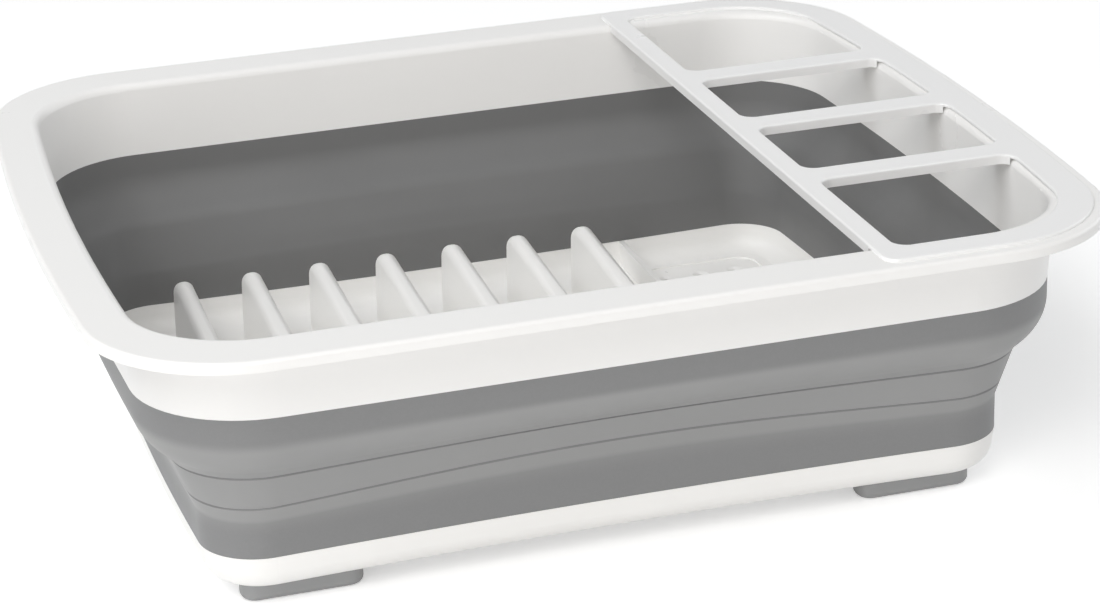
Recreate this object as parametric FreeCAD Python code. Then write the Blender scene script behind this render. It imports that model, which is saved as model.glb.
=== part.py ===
import FreeCAD, Part
import math
import os

# Collapsible dish rack: a stiff white base and a stiff white upper frame,
# joined by a soft grey wall that folds when the frame is pushed down.
# A cutlery frame lies loose on the rim, and four soft feet carry the base.
# Origin: middle of the footprint on the table. X runs along the rack towards
# the cutlery end, Y towards the back, Z up. Sizes are in millimetres.

# Overall size, with the rack open
rack_length = 366.0
rack_width = 322.0
rim_height = 108.0

# Upper frame: a flat rim with a turned-down lip, and the band below it
rim_corner = 53.0
rim_bow = 8.5
rim_thickness = 2.4
lip_height = 4.0
lip_thickness = 2.4
lip_round = 1.3
rim_width_ends = 17.2
rim_width_sides = 20.5
opening_corner = 40.0
opening_bow = 6.5
opening_round = 3.0
band_thickness = 2.4
band_draft = 2.4
band_bottom = 79.0

# Soft wall, seen from outside: an upper band, a shoulder, a slope and a lower band
wall_thickness = 2.4
wall_bow = 4.5
upper_band_height = 7.5
shoulder_height = 15.3
shoulder_inset = 8.6
shoulder_turn = 40.0
slope_height = 22.7
slope_inset = 9.1
lower_band_height = 12.9
crease_depth = 0.5
crease_height = 1.4
upper_crease_drop = 3.0
lower_crease_drop = 15.6
tongue_height = 3.0
tongue_thickness = 0.9

# Base: floor, low wall, plate fins, divider and drain holes
base_corner = 22.0
base_bow = 4.0
base_dip = 3.0
base_draft = 1.8
base_edge_round = 8.0
base_thickness = 2.4
floor_thickness = 3.0
floor_round = 7.0

fin_count = 7
fin_pitch = 27.5
first_fin_x = -113.5
fin_crest_thickness = 7.2
fin_foot_thickness = 8.4
fin_back_y = 97.0
fin_front_y = -72.0
fin_back_height = 30.3
fin_front_height = 5.6
fin_nose_round = 6.0
fin_crest_round = 3.4
fin_wall = 2.0

divider_x = 77.0
divider_thickness = 2.2
divider_height = 10.3

drain_columns = 3
drain_rows = 11
drain_pitch_x = 15.0
drain_pitch_y = 19.2
drain_centre_x = 104.5
drain_hole_radius = 1.5
drain_dish_radius = 3.4
drain_dish_depth = 0.8
recess_depth = 0.6
recess_side_gap = 4.0
recess_end_gap = 13.0
recess_y_gap = 10.5
recess_corner = 9.0

# Feet: soft pads in shallow pockets under the base, held by a peg at each end
foot_height = 7.2
foot_length = 43.0
foot_width = 12.0
foot_from_end = 36.0
foot_from_side = 15.8
foot_corner = 3.0
foot_pocket_depth = 0.8
foot_edge_round = 2.0
foot_peg_radius = 2.0
foot_peg_depth = 0.8
foot_peg_pitch = 24.0

# Cutlery frame: a flange on the rim, a long bar and three crossbars
cutlery_flange_thickness = 1.2
cutlery_flange_inset = 4.0
cutlery_flange_width = 12.0
cutlery_bar_x = 81.7
cutlery_bar_width = 8.3
cutlery_bar_depth = 3.7
crossbar_count = 3
crossbar_width = 12.0
crossbar_pitch = 62.9
crossbar_middle_y = -4.4
cutlery_corner = 5.5
cutlery_clearance = 0.5
cutlery_edge_round = 0.8
bar_wall = 1.8


class Outline:
    """Rounded rectangle whose short sides bow outwards and whose long sides may dip inwards."""

    def __init__(self, half_length, half_width, corner, bow, dip=0.0):
        self.half_length = half_length
        self.half_width = half_width
        self.corner = corner
        self.bow = bow
        self.dip = dip

    def inset(self, distance):
        """Return the outline moved inwards."""
        corner = max(self.corner - distance, 1.0)
        half_width = self.half_width - distance
        return Outline(self.half_length - distance, half_width, corner, self.bow, self.dip)

    def corner_centre(self, side_radius, side_centre):
        """Return the XY centre of the corner arc and the angle at which it meets the long side."""
        to_side = side_radius - self.corner
        if self.dip == 0:
            centre_y = self.half_width - self.corner
            return side_centre + math.sqrt(to_side ** 2 - centre_y ** 2), centre_y, math.pi / 2
        reach = self.half_length - self.corner
        long_radius = (reach ** 2 + self.dip ** 2) / (2 * self.dip)
        long_centre = self.half_width - self.dip + long_radius
        to_long = long_radius + self.corner
        apart = math.hypot(side_centre, long_centre)
        along = (to_side ** 2 - to_long ** 2 + apart ** 2) / (2 * apart)
        across = math.sqrt(to_side ** 2 - along ** 2)
        centre_x = side_centre + (across * long_centre - along * side_centre) / apart
        centre_y = (along * long_centre + across * side_centre) / apart
        return centre_x, centre_y, math.atan2(long_centre - centre_y, -centre_x)

    def wire(self, height):
        """Return the closed outline at a height, as lines and arcs."""
        side_radius = (self.half_width ** 2 + self.bow ** 2) / (2 * self.bow)
        side_centre = self.half_length - side_radius
        corner_x, corner_y, top_angle = self.corner_centre(side_radius, side_centre)
        turn = math.atan2(corner_y, corner_x - side_centre)
        side = (side_centre + side_radius * math.cos(turn), side_radius * math.sin(turn))

        def on_corner(angle):
            return corner_x + self.corner * math.cos(angle), corner_y + self.corner * math.sin(angle)

        bend = on_corner((turn + top_angle) / 2)
        top = on_corner(top_angle)

        def point(place, sign_x, sign_y):
            return FreeCAD.Vector(place[0] * sign_x, place[1] * sign_y, height)

        edges = []
        for sign in (1, -1):
            near = point(side, sign, -sign)
            far = point(side, sign, sign)
            edges.append(Part.Arc(near, FreeCAD.Vector(sign * self.half_length, 0, height), far).toShape())
            edges.append(Part.Arc(far, point(bend, sign, sign), point(top, sign, sign)).toShape())
            long_middle = FreeCAD.Vector(0, sign * (self.half_width - self.dip), height)
            start = point(top, sign, sign)
            end = point(top, -sign, sign)
            if self.dip == 0:
                edges.append(Part.makeLine(start, end))
            else:
                edges.append(Part.Arc(start, long_middle, end).toShape())
            edges.append(Part.Arc(end, point(bend, -sign, sign), point(side, -sign, sign)).toShape())
        return Part.Wire(edges)


def loft(levels):
    """Return the solid through a list of (outline, height) levels."""
    return Part.makeLoft([outline.wire(height) for outline, height in levels], True, True)


def block(low, high):
    """Return the box between two opposite corners."""
    size = [high[axis] - low[axis] for axis in range(3)]
    return Part.makeBox(size[0], size[1], size[2], FreeCAD.Vector(*low))


def edges_at(shape, height):
    """Return the edges that lie flat at a height."""
    found = []
    for edge in shape.Edges:
        box = edge.BoundBox
        if abs(box.ZMin - height) < 1e-4 and abs(box.ZMax - height) < 1e-4:
            found.append(edge)
    return found


def upright_edges(shape, corners, reach):
    """Return the upright edges whose middle lies near one of the given XY corners."""
    found = []
    for edge in shape.Edges:
        box = edge.BoundBox
        if box.ZLength < 0.5 or box.XLength + box.YLength > 1e-3:
            continue
        for corner_x, corner_y in corners:
            if math.hypot(box.Center.x - corner_x, box.Center.y - corner_y) < reach:
                found.append(edge)
    return found


# Outlines and levels that the pieces share
rim = Outline(rack_length / 2, rack_width / 2, rim_corner, rim_bow)
opening = Outline(
    rack_length / 2 - rim_width_ends, rack_width / 2 - rim_width_sides, opening_corner, opening_bow
)
band_outer_top = opening.inset(-band_thickness)
band_inner = Outline(
    opening.half_length - band_draft, opening.half_width - band_draft, opening_corner, wall_bow
)
band_outer = band_inner.inset(-band_thickness)

upper_band_bottom = band_bottom - upper_band_height
shoulder_bottom = upper_band_bottom - shoulder_height
slope_bottom = shoulder_bottom - slope_height
base_top = slope_bottom - lower_band_height
lower_inset = shoulder_inset + slope_inset
lower_outer = Outline(
    band_outer.half_length - lower_inset,
    band_outer.half_width - lower_inset,
    base_corner,
    base_bow,
    base_dip,
)
floor_bottom = foot_height
floor_top = floor_bottom + floor_thickness
base_foot = lower_outer.inset(base_draft)
foot_centre_x = lower_outer.half_length - foot_from_end
foot_centre_y = lower_outer.half_width - foot_from_side


def wall_outline(inset, depth=0.0):
    """Return the soft wall's outer outline at an inset from the band, moved inwards by a depth."""
    share = inset / lower_inset
    corner = band_outer.corner + (lower_outer.corner - band_outer.corner) * share
    bow = band_outer.bow + (lower_outer.bow - band_outer.bow) * share
    half_length = band_outer.half_length - inset
    full = Outline(half_length, band_outer.half_width - inset, corner, bow, lower_outer.dip * share)
    return full.inset(depth)


def fold_profile():
    """Return the fold's outer profile as (inset, height), from the upper band down."""
    profile = []
    steps = 6
    turn = math.radians(shoulder_turn)
    for step in range(steps + 1):
        angle = turn * step / steps
        drop = shoulder_height * math.sin(angle) / math.sin(turn)
        inset = shoulder_inset * (1 - math.cos(angle)) / (1 - math.cos(turn))
        profile.append((inset, upper_band_bottom - drop))
    profile.append((lower_inset, slope_bottom))
    return profile


def inset_at(profile, height):
    """Return the profile's inset at a height."""
    for (inset_a, height_a), (inset_b, height_b) in zip(profile, profile[1:]):
        if height_b <= height <= height_a:
            return inset_a + (inset_b - inset_a) * (height_a - height) / (height_a - height_b)
    return profile[-1][0]


def creased(profile, crease_heights):
    """Return the profile with a shallow V crease at each given height."""
    points = list(profile)
    for height in crease_heights:
        above = height + crease_height / 2
        below = height - crease_height / 2
        points = [point for point in points if not below <= point[1] <= above]
        points.append((inset_at(profile, above), above))
        points.append((inset_at(profile, height) + crease_depth, height))
        points.append((inset_at(profile, below), below))
    return sorted(points, key=lambda point: -point[1])


def tongue_ring(outer, bottom, wall):
    """Return the thin ring that locks a stiff edge into the soft wall."""
    gap = (wall - tongue_thickness) / 2
    outer_levels = [(outer.inset(gap), bottom), (outer.inset(gap), bottom + tongue_height)]
    inner_inset = gap + tongue_thickness
    inner_levels = [(outer.inset(inner_inset), bottom), (outer.inset(inner_inset), bottom + tongue_height)]
    return loft(outer_levels).cut(loft(inner_levels))


upper_tongue = tongue_ring(band_outer, band_bottom - tongue_height, band_thickness)
lower_tongue = tongue_ring(lower_outer, base_top, base_thickness)


def make_upper_frame():
    """Rim with a turned-down lip, the band below it and the tongue that the wall grips."""
    lip_bottom = rim_height - lip_height
    under_rim = rim_height - rim_thickness
    shell = loft([(rim, lip_bottom), (rim, rim_height)])
    shell = shell.makeFillet(lip_round, edges_at(shell, rim_height))
    hollow_outline = rim.inset(lip_thickness)
    hollow = loft([(hollow_outline, lip_bottom), (hollow_outline, under_rim)])
    band = loft([(band_outer, band_bottom), (band_outer_top, under_rim)])
    inside = loft([(band_inner, band_bottom), (opening, rim_height)])
    frame = shell.cut(hollow).fuse(band).cut(inside).removeSplitter()
    inner_edges = []
    for edge in edges_at(frame, rim_height):
        box = edge.BoundBox
        reach_x = max(box.XMax, -box.XMin)
        reach_y = max(box.YMax, -box.YMin)
        if reach_x < opening.half_length + 0.01 and reach_y < opening.half_width + 0.01:
            inner_edges.append(edge)
    frame = frame.makeFillet(opening_round, inner_edges)
    return frame.fuse(upper_tongue).removeSplitter()


def make_wall_upper_band():
    """Upright upper part of the soft wall, gripped on the frame's tongue."""
    outer = loft([(band_outer, upper_band_bottom), (band_outer, band_bottom)])
    inner_outline = band_outer.inset(wall_thickness)
    inner = loft([(inner_outline, upper_band_bottom), (inner_outline, band_bottom)])
    return outer.cut(inner).cut(upper_tongue)


def make_wall_fold():
    """Shoulder and slope of the soft wall, with the creases along which it folds."""
    profile = fold_profile()
    crease_heights = [shoulder_bottom - upper_crease_drop, shoulder_bottom - lower_crease_drop]
    outer_profile = creased(profile, crease_heights)
    outer = loft([(wall_outline(inset), height) for inset, height in outer_profile])
    inner = loft([(wall_outline(inset, wall_thickness), height) for inset, height in profile])
    return outer.cut(inner)


def make_wall_lower_band():
    """Upright lower part of the soft wall, gripped on the base's tongue."""
    outer = loft([(lower_outer, base_top), (lower_outer, slope_bottom)])
    inner_outline = lower_outer.inset(wall_thickness)
    inner = loft([(inner_outline, base_top), (inner_outline, slope_bottom)])
    return outer.cut(inner).cut(lower_tongue)


def fin_side_view(x, inset, bottom):
    """Return a fin's closed side view at X: a straight slope between two rounded ends."""
    back_y = fin_back_y - inset
    front_y = fin_front_y + inset
    back_top = floor_top + fin_back_height - inset
    front_top = floor_top + fin_front_height - inset
    nose = fin_nose_round - inset
    slope = math.atan2(back_top - front_top, back_y - front_y)
    back_centre_z = back_top - nose * math.tan((math.pi / 2 + slope) / 2)
    front_centre_z = front_top - nose * math.tan((math.pi / 2 - slope) / 2)

    def point(y, z):
        return FreeCAD.Vector(x, y, z)

    def on_end(centre_y, centre_z, angle):
        return point(centre_y + nose * math.cos(angle), centre_z + nose * math.sin(angle))

    back_centre_y = back_y - nose
    front_centre_y = front_y + nose
    normal = math.pi / 2 + slope
    back_low = on_end(back_centre_y, back_centre_z, 0)
    back_middle = on_end(back_centre_y, back_centre_z, normal / 2)
    back_high = on_end(back_centre_y, back_centre_z, normal)
    front_high = on_end(front_centre_y, front_centre_z, normal)
    front_middle = on_end(front_centre_y, front_centre_z, (normal + math.pi) / 2)
    front_low = on_end(front_centre_y, front_centre_z, math.pi)
    edges = [
        Part.makeLine(point(front_y, bottom), point(back_y, bottom)),
        Part.makeLine(point(back_y, bottom), back_low),
        Part.Arc(back_low, back_middle, back_high).toShape(),
        Part.makeLine(back_high, front_high),
        Part.Arc(front_high, front_middle, front_low).toShape(),
        Part.makeLine(front_low, point(front_y, bottom)),
    ]
    return Part.Wire(edges)


def make_fin(inset, bottom):
    """One tapered fin at X = 0, or its core at an inset: high at its back, sloping to the front."""
    top = floor_top + fin_back_height

    def half_thickness(height):
        share = (height - floor_top) / fin_back_height
        foot_part = fin_foot_thickness * (1 - share)
        return (foot_part + fin_crest_thickness * share) / 2 - inset

    low = half_thickness(bottom)
    high = half_thickness(top)
    plate = Part.Face(fin_side_view(-low, inset, bottom)).extrude(FreeCAD.Vector(2 * low, 0, 0))
    start = fin_front_y - 1
    corners = [(-low, bottom), (low, bottom), (high, top), (-high, top), (-low, bottom)]
    taper = Part.Face(Part.makePolygon([FreeCAD.Vector(x, start, z) for x, z in corners]))
    fin = plate.common(taper.extrude(FreeCAD.Vector(0, fin_back_y - fin_front_y + 2, 0)))
    crest = []
    for edge in fin.Edges:
        box = edge.BoundBox
        along_side = box.XLength < low and abs(box.Center.x) > high / 2
        if along_side and box.ZMax > bottom + 0.01:
            crest.append(edge)
    return fin.makeFillet(fin_crest_round - inset, crest)


def make_recess():
    """Shallow recess in the floor around the drain holes, as the solid to cut away."""
    low_x = divider_x + divider_thickness / 2 + recess_side_gap
    high_x = base_foot.half_length - base_thickness - recess_end_gap
    reach_y = base_foot.half_width - base_thickness - recess_y_gap
    low = (low_x, -reach_y, floor_top - recess_depth)
    recess = block(low, (high_x, reach_y, floor_top + 1))
    corners = [(x, y) for x in (low_x, high_x) for y in (-reach_y, reach_y)]
    return recess.makeFillet(recess_corner, upright_edges(recess, corners, 1.0))


def make_drain(x, y):
    """One drain hole with the shallow dish around it, as the solid to cut away."""
    low = FreeCAD.Vector(x, y, floor_bottom - 1)
    hole = Part.makeCylinder(drain_hole_radius, floor_thickness + 2, low)
    dish_low = FreeCAD.Vector(x, y, floor_top - recess_depth - drain_dish_depth)
    return hole.fuse(Part.makeCone(drain_hole_radius, drain_dish_radius, drain_dish_depth, dish_low))


def drain_places():
    """Return the XY places of the drain holes in the cutlery end's floor."""
    places = []
    for column in range(drain_columns):
        for row in range(drain_rows):
            x = drain_centre_x + drain_pitch_x * (column - (drain_columns - 1) / 2)
            y = drain_pitch_y * (row - (drain_rows - 1) / 2)
            places.append((x, y))
    return places


def foot_places():
    """Return each foot's name and the signs of its corner."""
    return [
        ("foot_front_left", -1, -1),
        ("foot_front_right", 1, -1),
        ("foot_rear_left", -1, 1),
        ("foot_rear_right", 1, 1),
    ]


def foot_pad(sign_x, sign_y, bottom, top):
    """Return a pad with rounded corners, between two heights."""
    centre_x = sign_x * foot_centre_x
    centre_y = sign_y * foot_centre_y
    xs = (centre_x - foot_length / 2, centre_x + foot_length / 2)
    ys = (centre_y - foot_width / 2, centre_y + foot_width / 2)
    pad = block((xs[0], ys[0], bottom), (xs[1], ys[1], top))
    return pad.makeFillet(foot_corner, upright_edges(pad, [(x, y) for x in xs for y in ys], 1.0))


def foot_pegs(sign_x, sign_y):
    """Return the two short pegs on top of a foot."""
    pegs = []
    pocket_top = floor_bottom + foot_pocket_depth
    for side in (-1, 1):
        place = FreeCAD.Vector(
            sign_x * foot_centre_x + side * foot_peg_pitch / 2, sign_y * foot_centre_y, pocket_top
        )
        pegs.append(Part.makeCylinder(foot_peg_radius, foot_peg_depth, place))
    return pegs[0].fuse(pegs[1])


def make_foot(sign_x, sign_y):
    """Soft foot: a long pad seated in its pocket, with two pegs."""
    pad = foot_pad(sign_x, sign_y, 0, floor_bottom + foot_pocket_depth)
    pad = pad.makeFillet(foot_edge_round, edges_at(pad, 0))
    return pad.fuse(foot_pegs(sign_x, sign_y)).removeSplitter()


def make_base_tray():
    """Base with its floor, low wall, plate fins, divider, drains and foot pockets."""
    shell = loft([(base_foot, floor_bottom), (lower_outer, base_top)])
    shell = shell.makeFillet(base_edge_round, edges_at(shell, floor_bottom))
    inner_top = lower_outer.inset(base_thickness)
    inner_foot = base_foot.inset(base_thickness)
    hollow = loft([(inner_foot, floor_top), (inner_top, base_top)])
    hollow = hollow.makeFillet(floor_round, edges_at(hollow, floor_top))
    tray = shell.cut(hollow)

    fin = make_fin(0, floor_top - floor_thickness / 2)
    core = make_fin(fin_wall, floor_bottom - 1)
    additions = []
    cuts = []
    for index in range(fin_count):
        place = FreeCAD.Vector(first_fin_x + index * fin_pitch, 0, 0)
        additions.append(fin.translated(place))
        cuts.append(core.translated(place))
    half = divider_thickness / 2
    reach = lower_outer.half_width
    low = (divider_x - half, -reach, floor_bottom + floor_thickness / 2)
    high = (divider_x + half, reach, floor_top + divider_height)
    additions.append(block(low, high).common(shell))
    tray = tray.fuse(additions)

    cuts.append(make_recess())
    cuts += [make_drain(x, y) for x, y in drain_places()]
    for _, sign_x, sign_y in foot_places():
        cuts.append(foot_pad(sign_x, sign_y, 0, floor_bottom + foot_pocket_depth))
        cuts.append(foot_pegs(sign_x, sign_y))
    tray = tray.cut(cuts)
    return tray.fuse(lower_tongue).removeSplitter()


def make_cutlery_frame():
    """Loose frame over the rim's end: flange, long bar and crossbars with hollow undersides."""
    top = rim_height + cutlery_flange_thickness
    bottom = top - cutlery_bar_depth
    flange_outline = rim.inset(cutlery_flange_inset)
    reach = rack_length
    end_region = block((cutlery_bar_x, -reach, bottom - 1), (reach, reach, top + 1))
    flange = loft([(flange_outline, rim_height), (flange_outline, top)]).common(end_region)
    plug_outline = opening.inset(cutlery_clearance)
    plug = loft([(plug_outline, bottom), (plug_outline, rim_height)]).common(end_region)
    body = flange.fuse(plug).removeSplitter()
    front_corner = (cutlery_bar_x, -flange_outline.half_width)
    back_corner = (cutlery_bar_x, flange_outline.half_width)
    body = body.makeFillet(cutlery_corner, upright_edges(body, [front_corner, back_corner], 1.0))

    hole_outline = flange_outline.inset(cutlery_flange_width)
    whole_hole = loft([(hole_outline, bottom - 1), (hole_outline, top + 1)])
    inner_x = cutlery_bar_x + cutlery_bar_width
    middle = (crossbar_count - 1) / 2
    centres = [crossbar_middle_y + crossbar_pitch * (index - middle) for index in range(crossbar_count)]
    lows = [-reach] + [centre + crossbar_width / 2 for centre in centres]
    highs = [centre - crossbar_width / 2 for centre in centres] + [reach]
    for low_y, high_y in zip(lows, highs):
        hole = whole_hole.common(block((inner_x, low_y, bottom - 2), (reach, high_y, top + 2)))
        sharp = []
        for edge in hole.Edges:
            box = edge.BoundBox
            if box.ZLength > 1 and box.XLength + box.YLength < 1e-3 and is_corner(hole, edge):
                sharp.append(edge)
        body = body.cut(hole.makeFillet(cutlery_corner, sharp))
    body = body.removeSplitter()
    body = body.makeFillet(cutlery_edge_round, edges_at(body, top))

    pocket_top = top - bar_wall
    pocket_bottom = bottom - 1
    along = plug_outline.half_width - 2 * bar_wall - cutlery_corner
    long_low = (cutlery_bar_x + bar_wall, -along, pocket_bottom)
    long_high = (inner_x - bar_wall, along, pocket_top)
    body = body.cut(block(long_low, long_high))
    for centre in centres:
        cross_low = (inner_x + cutlery_corner, centre - crossbar_width / 2 + bar_wall, pocket_bottom)
        cross_x = plug_outline.half_length - cutlery_corner - opening_bow
        cross_high = (cross_x, centre + crossbar_width / 2 - bar_wall, pocket_top)
        body = body.cut(block(cross_low, cross_high))
    return body.removeSplitter()


def is_corner(shape, upright):
    """Return whether the two faces beside an upright edge meet at a sharp corner."""
    place = upright.BoundBox.Center
    normals = []
    for face in shape.Faces:
        if face.distToShape(Part.Vertex(place))[0] < 1e-5:
            u, v = face.Surface.parameter(place)
            normals.append(face.normalAt(u, v))
    return len(normals) == 2 and normals[0].getAngle(normals[1]) > math.radians(20)


def main():
    """Build every piece and write it to its own file."""
    pieces = {
        "upper_frame": make_upper_frame(),
        "wall_upper_band": make_wall_upper_band(),
        "wall_fold": make_wall_fold(),
        "wall_lower_band": make_wall_lower_band(),
        "base_tray": make_base_tray(),
        "cutlery_frame": make_cutlery_frame(),
    }
    for name, sign_x, sign_y in foot_places():
        pieces[name] = make_foot(sign_x, sign_y)
    os.makedirs("parts", exist_ok=True)
    for name, shape in pieces.items():
        shape.Solids[0].exportStep("parts/" + name + ".step")


main()
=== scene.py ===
"""A folding dish rack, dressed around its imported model, with its floor, lamps and camera."""

import logging
import math
from dataclasses import dataclass, replace
from enum import Enum
from typing import Any, Sequence

import bmesh
import bpy
from mathutils import Euler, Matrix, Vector


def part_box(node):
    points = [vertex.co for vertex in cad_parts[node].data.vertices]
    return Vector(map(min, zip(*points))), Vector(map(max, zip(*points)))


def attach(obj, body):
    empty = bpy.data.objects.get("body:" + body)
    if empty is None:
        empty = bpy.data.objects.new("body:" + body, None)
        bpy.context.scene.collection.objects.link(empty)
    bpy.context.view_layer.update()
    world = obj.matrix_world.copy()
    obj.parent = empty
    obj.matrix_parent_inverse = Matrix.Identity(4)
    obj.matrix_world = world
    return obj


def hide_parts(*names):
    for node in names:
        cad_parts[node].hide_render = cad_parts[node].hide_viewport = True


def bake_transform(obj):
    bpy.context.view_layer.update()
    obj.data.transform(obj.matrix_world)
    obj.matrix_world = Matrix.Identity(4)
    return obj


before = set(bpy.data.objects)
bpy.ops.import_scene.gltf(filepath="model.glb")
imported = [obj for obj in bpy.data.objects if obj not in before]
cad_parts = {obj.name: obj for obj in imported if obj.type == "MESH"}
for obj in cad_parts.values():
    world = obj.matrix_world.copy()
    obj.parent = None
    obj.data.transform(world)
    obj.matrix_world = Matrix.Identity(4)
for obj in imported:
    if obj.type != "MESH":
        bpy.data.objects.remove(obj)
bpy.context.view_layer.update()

MM = 0.001
NEARLY_NOTHING = 1e-6
MERGE_DISTANCE = 1e-7
LOG = logging.getLogger("dish_rack")
Colour = tuple[float, float, float]
Place = tuple[float, float, float]

# Scales of the noises, per metre.
DRIFT_SCALE = 14.0
WAVE_SCALE = 28.0
PATCH_SCALE = 90.0
SPECKLE_SCALE = 1100.0

# Shares of the noises in a surface's colour and roughness.
DRIFT_IN_COLOUR = 0.7
DRIFT_IN_ROUGHNESS = 0.5
SPECKLE_IN_COLOUR = 0.4

NOISE_ROUGHNESS = 0.55
PLASTIC_IOR = 1.49


class Body(Enum):
    """The bodies that move on their own."""

    BASE = "base"
    FRAME = "frame"
    CUTLERY = "cutlery"


class Signal:
    """One number that varies over a surface, with the arithmetic of the shader's maths nodes."""

    def __init__(self, graph: "Graph", socket: bpy.types.NodeSocket) -> None:
        """Keep the socket that gives the number and the graph that it lies in."""
        self.graph = graph
        self.socket = socket

    def join(self, operation: str, first: Any, second: Any) -> "Signal":
        """Return the result of one maths node on two numbers or signals."""
        return self.graph.node("ShaderNodeMath", {"operation": operation}, {0: first, 1: second}, 0)

    def __add__(self, other: Any) -> "Signal":
        """Return the sum."""
        return self.join("ADD", self, other)

    __radd__ = __add__

    def __mul__(self, other: Any) -> "Signal":
        """Return the product."""
        return self.join("MULTIPLY", self, other)

    __rmul__ = __mul__

    def __sub__(self, other: Any) -> "Signal":
        """Return this less the other."""
        return self.join("SUBTRACT", self, other)

    def __rsub__(self, other: Any) -> "Signal":
        """Return the other less this."""
        return self.join("SUBTRACT", other, self)


class Graph:
    """The nodes of one material or world."""

    def __init__(self, owner: bpy.types.Material | bpy.types.World) -> None:
        """Start an empty node tree on its owner."""
        owner.use_nodes = True
        self.tree = owner.node_tree
        self.tree.nodes.clear()

    def node(self, kind: str, settings: dict[str, Any], inputs: dict[Any, Any], output: Any) -> Signal:
        """Add one node.

        Args:
            kind: The node's type.
            settings: Its own settings, set before its sockets.
            inputs: A number, colour or signal for each input socket.
            output: The name or number of the output socket to give back.

        Returns:
            The output as a signal.
        """
        node = self.tree.nodes.new(kind)
        for name, value in settings.items():
            setattr(node, name, value)
        for key, value in inputs.items():
            if isinstance(value, Signal):
                self.tree.links.new(value.socket, node.inputs[key])
            else:
                node.inputs[key].default_value = value
        return Signal(self, node.outputs[output])

    def noise(self, scale: float, detail: float) -> Signal:
        """Return a noise of a scale per metre, from 0 to 1, that is fixed to the piece."""
        place = self.node("ShaderNodeTexCoord", {}, {}, "Object")
        inputs = {"Vector": place, "Scale": scale, "Detail": detail, "Roughness": NOISE_ROUGHNESS}
        return self.node("ShaderNodeTexNoise", {"noise_dimensions": "3D"}, inputs, 0)

    def blend(self, share: Signal, first: Colour | Signal, second: Colour | Signal) -> Signal:
        """Return a colour between two colours, which a Mix node takes at sockets 6 and 7."""
        ends = [colour if isinstance(colour, Signal) else (*colour, 1.0) for colour in (first, second)]
        return self.node("ShaderNodeMix", {"data_type": "RGBA"}, {0: share, 6: ends[0], 7: ends[1]}, 2)

    def parts(self, source: str) -> list[Signal]:
        """Return the three numbers of a place or direction on the piece."""
        whole = self.node("ShaderNodeTexCoord", {}, {}, source)
        return [self.node("ShaderNodeSeparateXYZ", {}, {0: whole}, axis) for axis in ("X", "Y", "Z")]

    def ramp(self, value: Signal, start: float, end: float) -> Signal:
        """Return a smooth step from 0 to 1 between two values."""
        settings = {"interpolation_type": "SMOOTHSTEP"}
        return self.node("ShaderNodeMapRange", settings, {"Value": value, 1: start, 2: end}, 0)

    def seen(self) -> Signal:
        """Return 1 where the camera, a reflection or a clear piece shows the surface, and otherwise 0."""
        rays = ("Is Camera Ray", "Is Glossy Ray", "Is Transmission Ray")
        camera, glossy, clear = [self.node("ShaderNodeLightPath", {}, {}, ray) for ray in rays]
        return camera.join("MAXIMUM", camera.join("MAXIMUM", camera, glossy), clear)

    def finish(self, kind: str, surface: Signal) -> None:
        """Join the last shader to the output."""
        end = self.tree.nodes.new(kind)
        self.tree.links.new(surface.socket, end.inputs["Surface"])


@dataclass(frozen=True)
class Finish:
    """A moulded surface: a colour with a faint drift, a fine grain and a slight waviness."""

    name: str
    slot: str
    low_colour: Colour
    high_colour: Colour
    roughness: float
    roughness_spread: float
    grain_per_metre: float
    grain_height: float
    wave_height: float
    sheen: float = 0.0

    def material(self) -> bpy.types.Material:
        """Return the finish as a material."""
        material = bpy.data.materials.new(self.name)
        graph = Graph(material)
        drift = graph.noise(DRIFT_SCALE, 3.0)
        patches = graph.noise(PATCH_SCALE, 4.0)
        grain = graph.noise(self.grain_per_metre, 3.0)
        wave = graph.noise(WAVE_SCALE, 1.0)
        height = grain * self.grain_height + wave * self.wave_height
        bump = graph.node("ShaderNodeBump", {}, {"Strength": 1.0, "Distance": 1.0, "Height": height}, 0)
        middle = self.roughness - DRIFT_IN_ROUGHNESS / 2
        rough = (patches - 0.5) * self.roughness_spread + (drift * DRIFT_IN_ROUGHNESS + middle)
        share = drift * DRIFT_IN_COLOUR + grain * (1 - DRIFT_IN_COLOUR)
        inputs = {
            "Base Color": self.paint(graph, share),
            "Roughness": rough,
            "Normal": bump,
            "Sheen Weight": self.sheen,
            "IOR": PLASTIC_IOR,
        }
        graph.finish("ShaderNodeOutputMaterial", graph.node("ShaderNodeBsdfPrincipled", {}, inputs, 0))
        return material

    def paint(self, graph: Graph, share: Signal) -> Signal:
        """Return the colour at a share of the way from the low to the high one."""
        return graph.blend(share, self.low_colour, self.high_colour)


@dataclass(frozen=True)
class WallFinish(Finish):
    """The soft wall's surface, with painted bounce light from below on its downward-facing sloping parts
    and painted shade on its inner side.
    """

    # Painted bounce light for faces that look down, and painted shade for the inner side.
    bounce_lit_colour: Colour = (0.325, 0.325, 0.325)
    shaded_inner_colour: Colour = (0.176, 0.176, 0.176)
    bounce_start: float = 0.04
    bounce_end: float = 0.34
    side_blur: float = 0.01

    def paint(self, graph: Graph, share: Signal) -> Signal:
        """Return the colour, with painted light and shade that follow the way that the surface faces."""
        facing = graph.parts("Normal")
        place = graph.parts("Object")
        # Painted bounce light from below: the more a face looks down, the paler it is painted.
        slope = graph.ramp(facing[2] * -1.0, self.bounce_start, self.bounce_end)
        # Painted shade: faces that look in towards the middle of the rack are painted darker.
        away = facing[0] * place[0] + facing[1] * place[1]
        outside_unshaded = graph.ramp(away, -self.side_blur, self.side_blur)
        speckle = graph.noise(SPECKLE_SCALE, 2.0)
        mottled = share * (1 - SPECKLE_IN_COLOUR) + speckle * SPECKLE_IN_COLOUR
        band = graph.blend(mottled, self.low_colour, self.high_colour)
        outer = graph.blend(slope, band, self.bounce_lit_colour)
        return graph.blend(outside_unshaded, self.shaded_inner_colour, outer)


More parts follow.
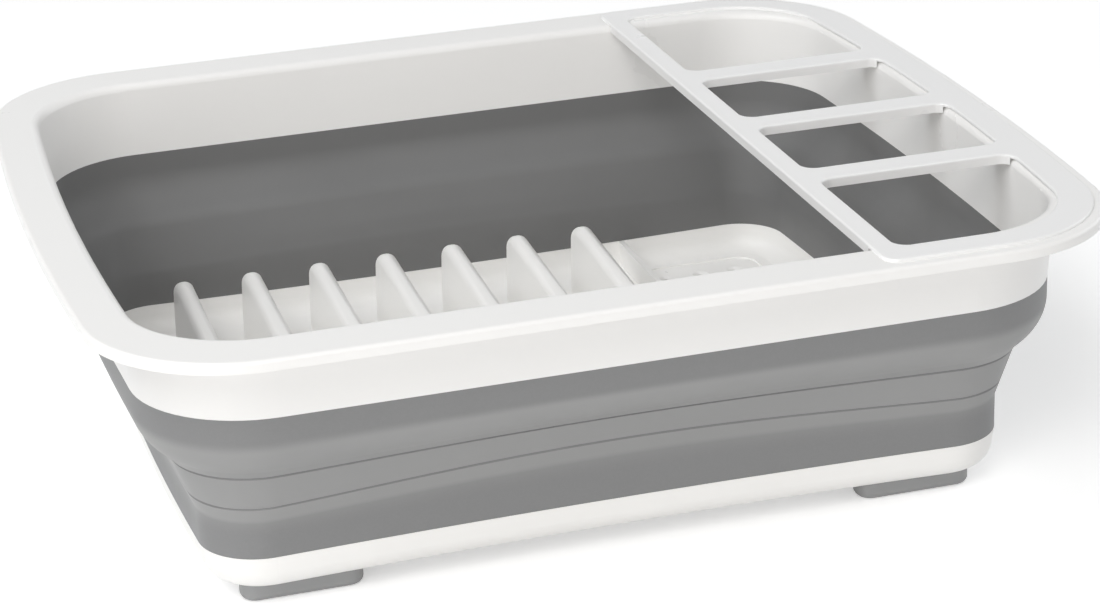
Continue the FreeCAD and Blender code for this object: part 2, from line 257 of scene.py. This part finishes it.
WHITE_SHELL = Finish(
    name="satin_white",
    slot="white_plastic",
    low_colour=(0.925, 0.915, 0.90),
    high_colour=(0.945, 0.936, 0.921),
    roughness=0.36,
    roughness_spread=0.10,
    grain_per_metre=1800.0,
    grain_height=0.004 * MM,
    wave_height=0.05 * MM,
)
# A lighter copy of the same satin white for the base and its fins: painted extra light.
LIT_WHITE_BASE = replace(
    WHITE_SHELL,
    name="satin_white_base_lit",
    low_colour=(0.975, 0.965, 0.945),
    high_colour=(0.988, 0.979, 0.961),
)
WHITE_CUTLERY = replace(
    WHITE_SHELL,
    name="satin_white_cutlery",
    slot="cutlery_plastic",
    low_colour=(0.905, 0.90, 0.895),
    high_colour=(0.935, 0.93, 0.925),
    roughness=0.38,
    wave_height=0.04 * MM,
)
SOFT_GREY = WallFinish(
    name="soft_grey",
    slot="soft_grey",
    low_colour=(0.208, 0.209, 0.211),
    high_colour=(0.252, 0.253, 0.255),
    roughness=0.58,
    roughness_spread=0.12,
    grain_per_metre=2600.0,
    grain_height=0.010 * MM,
    wave_height=0.10 * MM,
    sheen=0.1,
)
FOOT_GREY = Finish(
    name="foot_grey",
    slot="foot_grey",
    low_colour=(0.305, 0.308, 0.311),
    high_colour=(0.35, 0.353, 0.356),
    roughness=0.6,
    roughness_spread=0.12,
    grain_per_metre=2600.0,
    grain_height=0.012 * MM,
    wave_height=0.05 * MM,
    sheen=0.1,
)
FINISHES = (WHITE_SHELL, LIT_WHITE_BASE, WHITE_CUTLERY, SOFT_GREY, FOOT_GREY)
MATERIALS = {finish.name: finish.material() for finish in FINISHES}


@dataclass(frozen=True)
class Outline:
    """Rounded rectangle from above, in metres: its short sides bow out, its long sides may dip in."""

    half_length: float
    half_width: float
    corner: float
    bow: float
    dip: float = 0.0

    def inset(self, distance: float) -> "Outline":
        """Return the outline moved inwards."""
        corner = max(self.corner - distance, 1.0 * MM)
        return Outline(self.half_length - distance, self.half_width - distance, corner, self.bow, self.dip)

    def toward(self, other: "Outline", share: float) -> "Outline":
        """Return the outline that lies a share of the way to another."""
        pairs = zip(self.sizes(), other.sizes())
        return Outline(*[mine + (theirs - mine) * share for mine, theirs in pairs])

    def sizes(self) -> tuple[float, float, float, float, float]:
        """Return the five sizes."""
        return self.half_length, self.half_width, self.corner, self.bow, self.dip

    def long_side(self) -> tuple[float, float]:
        """Return the radius of the back's inward bend and the Y of its centre."""
        reach = self.half_length - self.corner
        radius = (reach ** 2 + self.dip ** 2) / (2 * self.dip)
        return radius, self.half_width - self.dip + radius

    def corner_centre(self, side_centre: float, to_side: float) -> tuple[Vector, float]:
        """Place the corner's arc.

        Args:
            side_centre: The X of the centre of the right side's bend.
            to_side: The distance from there to the centre of the corner's arc.

        Returns:
            The centre of the corner's arc and the angle at which it meets the back.
        """
        if self.dip < NEARLY_NOTHING:
            centre_y = self.half_width - self.corner
            return Vector((side_centre + math.sqrt(to_side ** 2 - centre_y ** 2), centre_y)), math.pi / 2
        long_radius, long_centre = self.long_side()
        to_long = long_radius + self.corner
        apart = math.hypot(side_centre, long_centre)
        along = (to_side ** 2 - to_long ** 2 + apart ** 2) / (2 * apart)
        across = math.sqrt(to_side ** 2 - along ** 2)
        centre_x = side_centre + (across * long_centre - along * side_centre) / apart
        centre_y = (along * long_centre + across * side_centre) / apart
        return Vector((centre_x, centre_y)), math.atan2(long_centre - centre_y, -centre_x)

    def quarter(self) -> list[Vector]:
        """Return the points from the middle of the right side to the middle of the back."""
        side_steps, corner_steps, back_steps = 12, 20, 16
        radius = (self.half_width ** 2 + self.bow ** 2) / (2 * self.bow)
        side_centre = self.half_length - radius
        middle, top_angle = self.corner_centre(side_centre, radius - self.corner)
        turn = math.atan2(middle.y, middle.x - side_centre)
        points = []
        for step in range(side_steps):
            angle = turn * step / side_steps
            points.append(Vector((side_centre + radius * math.cos(angle), radius * math.sin(angle))))
        for step in range(corner_steps + 1):
            angle = turn + (top_angle - turn) * step / corner_steps
            points.append(middle + Vector((math.cos(angle), math.sin(angle))) * self.corner)
        start = points[-1]
        for step in range(1, back_steps + 1):
            x = start.x * (1 - step / back_steps)
            y = start.y
            if self.dip >= NEARLY_NOTHING:
                long_radius, long_centre = self.long_side()
                y = long_centre - math.sqrt(long_radius ** 2 - x ** 2)
            points.append(Vector((x, y)))
        return points

    def around(self) -> list[Vector]:
        """Return the points of the whole outline, anticlockwise."""
        quarter = self.quarter()
        back = [Vector((-point.x, point.y)) for point in reversed(quarter[1:])]
        half = quarter[:-1] + back
        return half + [-point for point in half]


SHARP_ANGLE = math.radians(35.0)
Station = tuple[Outline, float]


def extrude_ring(mesh: bmesh.types.BMesh, ring: list[bmesh.types.BMVert]) -> list[bmesh.types.BMVert]:
    """Extrude a closed ring of points and return the new points in the same order."""
    edges = [mesh.edges.get((vert, ring[index - 1])) for index, vert in enumerate(ring)]
    made = set(bmesh.ops.extrude_edge_only(mesh, edges=edges)["geom"])
    fresh = []
    for vert in ring:
        others = [edge.other_vert(vert) for edge in vert.link_edges]
        fresh.append(next(other for other in others if other in made))
    return fresh


def place_ring(ring: list[bmesh.types.BMVert], station: Station) -> None:
    """Move a ring of points onto an outline at a height."""
    outline, height = station
    for vert, point in zip(ring, outline.around()):
        vert.co = (point.x, point.y, height)


def swept(stations: Sequence[Station]) -> bmesh.types.BMesh:
    """Return the closed hoop that a cross-section makes when it goes round its outlines."""
    mesh = bmesh.new()
    count = len(stations[0][0].around())
    ring = bmesh.ops.create_circle(mesh, cap_ends=False, segments=count, radius=1.0)["verts"]
    place_ring(ring, stations[0])
    for station in list(stations[1:]) + [stations[0]]:
        ring = extrude_ring(mesh, ring)
        place_ring(ring, station)
    bmesh.ops.remove_doubles(mesh, verts=mesh.verts, dist=MERGE_DISTANCE)
    bmesh.ops.recalc_face_normals(mesh, faces=mesh.faces)
    return mesh


def piece(name: str, mesh: bmesh.types.BMesh, finish: Finish) -> bpy.types.Object:
    """Turn a finished bmesh into a named, dressed object.

    Args:
        name: The piece's name.
        mesh: Its bmesh, which is freed.
        finish: Its finish.

    Returns:
        The object, which doesn't ride on a body yet.
    """
    data = bpy.data.meshes.new(name)
    mesh.to_mesh(data)
    mesh.free()
    data.shade_smooth()
    data.set_sharp_from_angle(angle=SHARP_ANGLE)
    data.materials.append(MATERIALS[finish.name])
    made = bpy.data.objects.new(name, data)
    bpy.context.scene.collection.objects.link(made)
    LOG.info("%s: %d faces", name, len(data.polygons))
    return made


def soften(mesh: bmesh.types.BMesh, edges: list[bmesh.types.BMEdge], radius: float, segments: int) -> None:
    """Round some edges."""
    settings = {"profile": 0.5, "affect": "EDGES", "clamp_overlap": False, "material": -1}
    bmesh.ops.bevel(mesh, geom=edges, offset=radius, segments=segments, **settings)


@dataclass
class SoftWall:
    """The soft wall: an upright band, a rounded shoulder, a slope with creases and a lower band."""

    thickness: float = 2.4 * MM
    upper_corner: float = 42.4 * MM
    upper_bow: float = 4.5 * MM
    lower_corner: float = 22.0 * MM
    lower_bow: float = 4.0 * MM
    lower_dip: float = 3.0 * MM
    shoulder_inset: float = 8.6 * MM
    shoulder_height: float = 15.3 * MM
    shoulder_turn: float = math.radians(42.0)
    shoulder_steps: int = 14
    slope_steps: int = 10
    crease_depth: float = 0.36 * MM
    crease_height: float = 1.0 * MM
    crease_bed_share: float = 0.3
    crease_margin: float = 1.2
    upper_crease_drop: float = 3.1 * MM
    upper_crease_inset: float = 11.0 * MM
    lower_crease_drop: float = 16.3 * MM
    upper_crease_lift: float = 1.8 * MM
    lower_crease_lift: float = 4.2 * MM
    slope_bottom_lift: float = 2.8 * MM
    lift_reach: float = 125.0 * MM
    lift_power: float = 1.5

    def __post_init__(self) -> None:
        """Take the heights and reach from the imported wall."""
        low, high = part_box("wall_upper_band")
        self.upper = Outline(high.x, high.y, self.upper_corner, self.upper_bow)
        self.top = high.z
        self.shoulder_top = low.z
        low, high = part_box("wall_lower_band")
        self.lower = Outline(high.x, high.y, self.lower_corner, self.lower_bow, self.lower_dip)
        self.bottom = low.z
        self.slope_bottom = high.z
        self.shoulder_bottom = self.shoulder_top - self.shoulder_height
        self.upper_crease = self.shoulder_bottom - self.upper_crease_drop
        self.lower_crease = self.shoulder_bottom - self.lower_crease_drop

    def outline(self, inset: float, depth: float) -> Outline:
        """Return the outline at an inset from the upper band, moved inwards by a depth."""
        share = inset / (self.upper.half_length - self.lower.half_length)
        return self.upper.toward(self.lower, share).inset(depth)

    def profile(self) -> list[tuple[float, float]]:
        """Return the outer face's (inset, height) from the top down, without creases."""
        turn = self.shoulder_turn
        points = [(0.0, self.top), (0.0, (self.top + self.shoulder_top) / 2)]
        for step in range(self.shoulder_steps + 1):
            angle = turn * step / self.shoulder_steps
            inset = self.shoulder_inset * (1 - math.cos(angle)) / (1 - math.cos(turn))
            drop = self.shoulder_height * math.sin(angle) / math.sin(turn)
            points.append((inset, self.shoulder_top - drop))
        reach = self.upper.half_length - self.lower.half_length
        height = self.upper_crease - self.slope_bottom
        for step in range(self.slope_steps):
            share = step / self.slope_steps
            inset = self.upper_crease_inset + (reach - self.upper_crease_inset) * share
            points.append((inset, self.upper_crease - height * share))
        for height in (self.slope_bottom, (self.slope_bottom + self.bottom) / 2, self.bottom):
            points.append((reach, height))
        return points

    def creased(self, points: list[tuple[float, float]]) -> list[tuple[float, float]]:
        """Return the profile with a fine groove at each crease."""
        half = self.crease_height / 2
        bed_half = half * self.crease_bed_share
        for middle in (self.upper_crease, self.lower_crease):
            bed = inset_at(points, middle) + self.crease_depth
            kept = [point for point in points if abs(point[1] - middle) > half * self.crease_margin]
            groove = [(inset_at(points, middle + half), middle + half)]
            groove += [(bed, middle + bed_half), (bed, middle - bed_half)]
            groove.append((inset_at(points, middle - half), middle - half))
            points = sorted(kept + groove, key=lambda point: -point[1])
        return points

    def lift(self, place: Vector) -> float:
        """Return how far the long sides' lines rise at a place, most in the middle of the side."""
        levels = [
            (0.0, self.shoulder_top),
            (self.upper_crease_lift, self.upper_crease),
            (self.lower_crease_lift, self.lower_crease),
            (self.slope_bottom_lift, self.slope_bottom),
            (0.0, self.bottom),
        ]
        if place.z >= self.shoulder_top:
            return 0.0
        nearness = max(0.0, 1.0 - (place.x / self.lift_reach) ** 2)
        return inset_at(levels, place.z) * nearness ** self.lift_power

    def build(self) -> bpy.types.Object:
        """Build the wall as one piece between the base and the frame."""
        plain = self.profile()
        stations = [(self.outline(inset, 0.0), height) for inset, height in self.creased(plain)]
        stations += [(self.outline(inset, self.thickness), height) for inset, height in reversed(plain)]
        mesh = swept(stations)
        for vert in mesh.verts:
            vert.co.z += self.lift(vert.co)
        wall = piece("soft_wall", mesh, SOFT_GREY)
        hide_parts("wall_upper_band", "wall_fold", "wall_lower_band")
        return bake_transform(wall)


def inset_at(points: list[tuple[float, float]], height: float) -> float:
    """Return the value at a height in a list of (value, height) that goes from the top down."""
    for (inset_a, height_a), (inset_b, height_b) in zip(points, points[1:]):
        if height_b <= height <= height_a:
            return inset_a + (inset_b - inset_a) * (height_a - height) / (height_a - height_b)
    return points[-1][0]


@dataclass
class Fins:
    """The plate fins: rounded at the crest and the back, and a little lower towards the front."""

    count: int = 7
    pitch: float = 27.5 * MM
    first_x: float = -113.5 * MM
    back_y: float = 97.0 * MM
    front_y: float = -72.0 * MM
    bottom: float = 9.6 * MM
    back_top: float = 40.7 * MM
    front_top: float = 30.9 * MM
    nose: float = 9.5 * MM
    foot_thickness: float = 8.6 * MM
    crest_thickness: float = 7.2 * MM
    crest_round: float = 3.3 * MM
    nose_steps: int = 8
    round_segments: int = 7

    def side_view(self) -> list[tuple[float, float]]:
        """Return the (y, z) points of one fin seen from the side."""
        points = [(self.front_y, self.bottom), (self.back_y, self.bottom)]
        angles = [math.radians(90 * step / self.nose_steps) for step in range(self.nose_steps + 1)]
        for angle in angles:
            lift = self.back_top - self.nose * (1 - math.sin(angle))
            points.append((self.back_y - self.nose * (1 - math.cos(angle)), lift))
        for angle in angles:
            lift = self.front_top - self.nose * (1 - math.cos(angle))
            points.append((self.front_y + self.nose * (1 - math.sin(angle)), lift))
        return points

    def half_thickness(self, height: float) -> float:
        """Return half the thickness at a height."""
        share = (height - self.bottom) / (self.back_top - self.bottom)
        return (self.foot_thickness + (self.crest_thickness - self.foot_thickness) * share) / 2

    def build(self) -> bpy.types.Object:
        """Build all the fins as one piece."""
        mesh = bmesh.new()
        for index in range(self.count):
            self.fin(mesh, self.first_x + index * self.pitch)
        fins = piece("plate_fins", mesh, LIT_WHITE_BASE)
        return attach(fins, Body.BASE.value)

    def fin(self, mesh: bmesh.types.BMesh, x: float) -> None:
        """Add one fin at a place along the rack."""
        points = self.side_view()
        near = [mesh.verts.new((x - self.half_thickness(z), y, z)) for y, z in points]
        face = mesh.faces.new(near)
        made = bmesh.ops.extrude_face_region(mesh, geom=[face], use_keep_orig=True)["geom"]
        far = [item for item in made if isinstance(item, bmesh.types.BMVert)]
        for vert in far:
            vert.co.x = x + self.half_thickness(vert.co.z)
        own = set(near) | set(far)
        rim = [edge for edge in mesh.edges if own.issuperset(edge.verts) and self.rounded(edge, x)]
        soften(mesh, rim, self.crest_round, self.round_segments)
        bmesh.ops.recalc_face_normals(mesh, faces=mesh.faces)

    def rounded(self, edge: bmesh.types.BMEdge, x: float) -> bool:
        """Say whether an edge of the fin at a place borders one of its sides above the foot."""
        first, second = [vert.co for vert in edge.verts]
        same_side = (first.x < x) == (second.x < x)
        return same_side and max(first.z, second.z) > self.bottom + NEARLY_NOTHING


@dataclass
class Foot:
    """A soft foot pad with rounded corners and a rounded tread."""

    node: str
    corner: float = 5.5 * MM
    edge_round: float = 2.4 * MM
    round_segments: int = 6
    peg_height: float = 0.8 * MM

    def build(self) -> bpy.types.Object:
        """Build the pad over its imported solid."""
        low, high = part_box(self.node)
        size = high - low
        height = size.z - self.peg_height
        mesh = bmesh.new()
        bmesh.ops.create_cube(mesh, size=1.0)
        bmesh.ops.scale(mesh, verts=mesh.verts, vec=(size.x, size.y, height))
        middle = (low + high) / 2
        bmesh.ops.translate(mesh, verts=mesh.verts, vec=(middle.x, middle.y, low.z + height / 2))
        upright = [edge for edge in mesh.edges if abs(edge.verts[0].co.z - edge.verts[1].co.z) > height / 2]
        soften(mesh, upright, self.corner, self.round_segments)
        lowest = low.z + NEARLY_NOTHING
        tread = [edge for edge in mesh.edges if max(vert.co.z for vert in edge.verts) < lowest]
        soften(mesh, tread, self.edge_round, self.round_segments)
        bmesh.ops.recalc_face_normals(mesh, faces=mesh.faces)
        pad = piece("pad_" + self.node.removeprefix("foot_"), mesh, FOOT_GREY)
        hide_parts(self.node)
        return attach(pad, Body.BASE.value)


@dataclass(frozen=True)
class Lamp:
    """A square soft box that faces the rack."""

    name: str
    place: Place
    size: float
    watts: float
    colour: Colour

    def hang(self) -> None:
        """Hang it at its place."""
        data = bpy.data.lights.new(self.name, "AREA")
        data.shape = "SQUARE"
        data.size = self.size
        data.energy = self.watts
        data.color = self.colour
        lamp = bpy.data.objects.new(self.name, data)
        lamp.location = self.place
        lamp.rotation_euler = (LAMP_TARGET - Vector(self.place)).to_track_quat("-Z", "Y").to_euler()
        bpy.context.scene.collection.objects.link(lamp)


WHITE = (1.0, 1.0, 1.0, 1.0)
LAMP_TARGET = Vector((0.0, 0.0, 0.05))
PLAIN_LIGHT = (1.0, 0.99, 0.975)
COOL_LIGHT = (0.95, 0.975, 1.0)
LAMPS = (
    Lamp("key", (-0.9, -1.3, 1.6), 1.2, 18.0, PLAIN_LIGHT),
    Lamp("low_front", (-0.2, -2.1, 0.4), 1.0, 5.5, PLAIN_LIGHT),
    Lamp("low_left", (-1.2, -1.6, 0.45), 0.9, 7.5, PLAIN_LIGHT),
    Lamp("fill", (1.9, 0.3, 0.9), 1.4, 12.5, COOL_LIGHT),
    Lamp("top", (-1.2, 0.1, 1.6), 1.2, 13.0, COOL_LIGHT),
)


@dataclass
class Studio:
    """The camera, the white surroundings, the floor and the lamps."""

    camera_place: Vector = Vector((-284.0, -1019.6, 471.0)) * MM
    azimuth: float = -15.62
    elevation: float = 21.68
    roll: float = -2.31
    focal_pixels: float = 3026.8
    image_width: float = 1100.0
    image_height: float = 607.0
    middle_x: float = 525.2
    middle_y: float = 297.35
    sensor_width: float = 36.0
    nearest: float = 0.05
    farthest: float = 50.0
    sky_level: float = 0.2
    floor_reach: float = 6.0
    floor_paint: Colour = (0.90, 0.90, 0.90)
    floor_glow: float = 0.4

    def camera(self) -> None:
        """Stand the camera where the photograph was taken from."""
        data = bpy.data.cameras.new("camera")
        data.sensor_width = self.sensor_width
        data.sensor_fit = "HORIZONTAL"
        data.lens = self.focal_pixels * data.sensor_width / self.image_width
        data.shift_x = (self.image_width / 2 - self.middle_x) / self.image_width
        data.shift_y = (self.middle_y - self.image_height / 2) / self.image_width
        data.clip_start = self.nearest
        data.clip_end = self.farthest
        camera = bpy.data.objects.new("camera", data)
        camera.location = self.camera_place
        heading = Euler((0, 0, math.radians(self.azimuth))).to_matrix()
        tilt = Euler((math.radians(90 - self.elevation), 0, 0)).to_matrix()
        turn = Euler((0, 0, math.radians(self.roll))).to_matrix()
        camera.rotation_euler = (heading @ tilt @ turn).to_euler()
        bpy.context.scene.collection.objects.link(camera)
        bpy.context.scene.camera = camera

    def surroundings(self) -> None:
        """Light the rack evenly from all sides, in front of plain white."""
        world = bpy.data.worlds.new("surroundings")
        bpy.context.scene.world = world
        graph = Graph(world)
        levels = {0: graph.seen(), 2: self.sky_level, 3: 1.0}
        level = graph.node("ShaderNodeMix", {"data_type": "FLOAT"}, levels, 0)
        light = graph.node("ShaderNodeBackground", {}, {"Color": WHITE, "Strength": level}, 0)
        graph.finish("ShaderNodeOutputWorld", light)

    def floor(self) -> None:
        """Lay the pale floor, which stays white around the rack's shadow."""
        mesh = bmesh.new()
        bmesh.ops.create_grid(mesh, x_segments=1, y_segments=1, size=self.floor_reach)
        data = bpy.data.meshes.new("floor")
        mesh.to_mesh(data)
        mesh.free()
        floor = bpy.data.objects.new("floor", data)
        bpy.context.scene.collection.objects.link(floor)
        material = bpy.data.materials.new("pale_floor")
        graph = Graph(material)
        paint = graph.node("ShaderNodeBsdfDiffuse", {}, {"Color": (*self.floor_paint, 1.0)}, 0)
        inputs = {"Color": WHITE, "Strength": graph.seen() * self.floor_glow}
        glow = graph.node("ShaderNodeEmission", {}, inputs, 0)
        both = graph.node("ShaderNodeAddShader", {}, {0: paint, 1: glow}, 0)
        graph.finish("ShaderNodeOutputMaterial", both)
        data.materials.append(material)

    def build(self) -> None:
        """Set up everything around the rack."""
        self.camera()
        self.surroundings()
        self.floor()
        for lamp in LAMPS:
            lamp.hang()
        bpy.context.scene.view_settings.view_transform = "Standard"


def dress(node: str, finish: Finish) -> None:
    """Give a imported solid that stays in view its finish."""
    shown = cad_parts[node]
    shown.data.materials.clear()
    shown.data.materials.append(MATERIALS[finish.name])
    LOG.info("%s: packed solid", node)


def main() -> None:
    """Build the rack and everything around it."""
    logging.basicConfig(level=logging.INFO)
    Studio().build()
    SoftWall().build()
    Fins().build()
    for node in ("foot_front_left", "foot_front_right", "foot_rear_left", "foot_rear_right"):
        Foot(node).build()
    dress("upper_frame", WHITE_SHELL)
    dress("base_tray", LIT_WHITE_BASE)
    dress("cutlery_frame", WHITE_CUTLERY)


if __name__ == "__main__":
    main()
